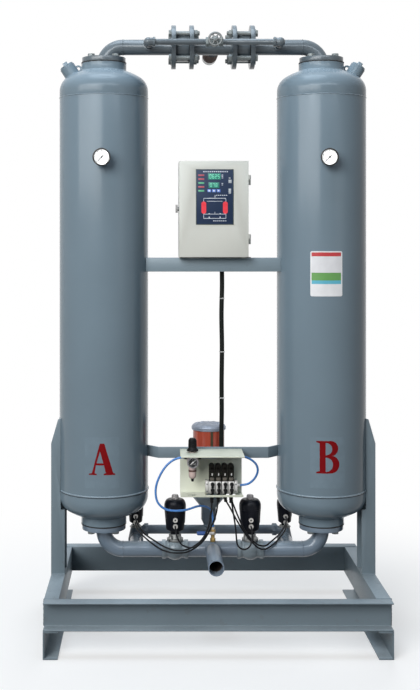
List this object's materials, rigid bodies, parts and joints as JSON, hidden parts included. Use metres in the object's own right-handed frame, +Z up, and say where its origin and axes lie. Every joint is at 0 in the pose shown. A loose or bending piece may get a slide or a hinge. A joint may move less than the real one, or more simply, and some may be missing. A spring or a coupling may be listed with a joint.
{
  "type": "desiccant air dryer",
  "caption": "Twin-tower heatless desiccant air dryer on a welded channel base, with flanged pipework, check valves, actuated valves, muffler, pilot air set and control cabinet.",
  "frame": {"origin": "middle of the base underside, on the floor", "axes": "+Z up, front faces -Y, tower A on the -X side, tower B on the +X side"},
  "size_m": [1.18, 0.74, 2.1963],
  "materials": {
    "grey_paint": "semi-gloss enamel",
    "desiccant": "dull beads",
    "steel": "satin",
    "rubber": "satin",
    "brass": "satin",
    "black_plastic": "satin",
    "clear": "clear",
    "red_muffler": "gloss",
    "aluminium": "satin",
    "cream_paint": "fine texture",
    "panel": "satin film",
    "pale_plastic": "satin",
    "blue_plastic": "gloss"
  },
  "bodies": {
    "frame": {"long_beams": "grey_paint", "side_frames": "grey_paint", "post_a": "grey_paint", "post_b": "grey_paint", "upper_crossbar": "grey_paint", "lower_crossbar": "grey_paint", "tower_a": "grey_paint", "tower_b": "grey_paint", "desiccant_beds": "desiccant", "bed_screens": "steel", "filler_plugs": "grey_paint", "top_spool_a": "grey_paint", "top_spool_b": "grey_paint", "outlet_spool": "grey_paint", "check_valves": "grey_paint", "header_bolts": "steel", "flange_gaskets": "rubber", "neck_bolts": "steel", "regen_pipes": "grey_paint", "throttle_valve": "brass", "bottom_spool_a": "grey_paint", "bottom_spool_b": "grey_paint", "inlet_tee": "grey_paint", "inlet_valves": "grey_paint", "purge_valves": "grey_paint", "valve_bonnets": "steel", "actuator_housings": "black_plastic", "indicator_domes": "clear", "port_fittings": "steel", "purge_manifold": "grey_paint", "muffler_element": "red_muffler", "muffler_cap": "aluminium", "gauge_cases": "black_plastic", "gauge_glasses": "clear", "control_cabinet": "cream_paint", "pilot_bracket": "cream_paint", "filter_regulator": "pale_plastic", "solenoid_manifold": "aluminium", "solenoid_valves": "black_plastic", "pilot_tap": "brass", "cable_bundle": "rubber", "supply_tube": "blue_plastic", "feed_tube": "blue_plastic", "control_tubes_left": "rubber", "control_tubes_right": "rubber"},
    "door": {"cabinet_door": "cream_paint", "display_panel": "panel"},
    "lock": {"door_lock": "steel"},
    "handwheel": {"throttle_handwheel": "steel"},
    "knob": {"regulator_knob": "black_plastic"},
    "pointer_a": {"gauge_pointer_a": "black_plastic"},
    "pointer_b": {"gauge_pointer_b": "black_plastic"},
    "pointer_pilot": {"pilot_pointer": "black_plastic"},
    "tap": {"tap_lever": "blue_plastic"},
    "stem_inlet_a": {"inlet_stem_a": "steel"},
    "stem_inlet_b": {"inlet_stem_b": "steel"},
    "stem_purge_a": {"purge_stem_a": "steel"},
    "stem_purge_b": {"purge_stem_b": "steel"},
    "disc_a": {"check_disc_a": "steel"},
    "disc_b": {"check_disc_b": "steel"}
  },
  "joints": [
    {"name": "door_hinge", "type": "hinge", "parent": "frame", "child": "door", "pos_m": [0.13, -0.072, 1.518], "axis": [0, 0, 1], "range_deg": [0, 110]},
    {"name": "lock_turn", "type": "hinge", "parent": "door", "child": "lock", "pos_m": [-0.125, -0.082, 1.521], "axis": [1, 0, 0], "range_deg": [0, 90]},
    {"name": "handwheel_turn", "type": "hinge", "parent": "frame", "child": "handwheel", "pos_m": [0, -0.187, 2.1163], "axis": [0, -1, 0], "range_deg": [-540, 540]},
    {"name": "knob_turn", "type": "hinge", "parent": "frame", "child": "knob", "pos_m": [-0.078, -0.113, 0.67], "axis": [0, 0, 1], "range_deg": [-720, 720]},
    {"name": "pointer_a_turn", "type": "hinge", "parent": "frame", "child": "pointer_a", "pos_m": [-0.4, -0.2, 1.7], "axis": [0, 1, 0], "range_deg": [0, 270], "stiffness_Nm_per_rad": 0.001},
    {"name": "pointer_b_turn", "type": "hinge", "parent": "frame", "child": "pointer_b", "pos_m": [0.4, -0.2, 1.7], "axis": [0, 1, 0], "range_deg": [0, 270], "stiffness_Nm_per_rad": 0.001},
    {"name": "pilot_pointer_turn", "type": "hinge", "parent": "frame", "child": "pointer_pilot", "pos_m": [-0.078, -0.15, 0.619], "axis": [0, 1, 0], "range_deg": [0, 270], "stiffness_Nm_per_rad": 0.001},
    {"name": "tap_turn", "type": "hinge", "parent": "frame", "child": "tap", "pos_m": [0, -0.039, 0.3382], "axis": [0, 1, 0], "range_deg": [0, 90]},
    {"name": "stem_inlet_a_lift", "type": "slide", "parent": "frame", "child": "stem_inlet_a", "axis": [0, 0, 1], "range_m": [0, 0.01], "stiffness_N_per_m": 1500},
    {"name": "stem_inlet_b_lift", "type": "slide", "parent": "frame", "child": "stem_inlet_b", "axis": [0, 0, 1], "range_m": [0, 0.01], "stiffness_N_per_m": 1500},
    {"name": "stem_purge_a_lift", "type": "slide", "parent": "frame", "child": "stem_purge_a", "axis": [0, 0, 1], "range_m": [0, 0.01], "stiffness_N_per_m": 1000},
    {"name": "stem_purge_b_lift", "type": "slide", "parent": "frame", "child": "stem_purge_b", "axis": [0, 0, 1], "range_m": [0, 0.01], "stiffness_N_per_m": 1000},
    {"name": "check_a_open", "type": "slide", "parent": "frame", "child": "disc_a", "axis": [1, 0, 0], "range_m": [0, 0.008], "stiffness_N_per_m": 400},
    {"name": "check_b_open", "type": "slide", "parent": "frame", "child": "disc_b", "axis": [-1, 0, 0], "range_m": [0, 0.008], "stiffness_N_per_m": 400}
  ]
}
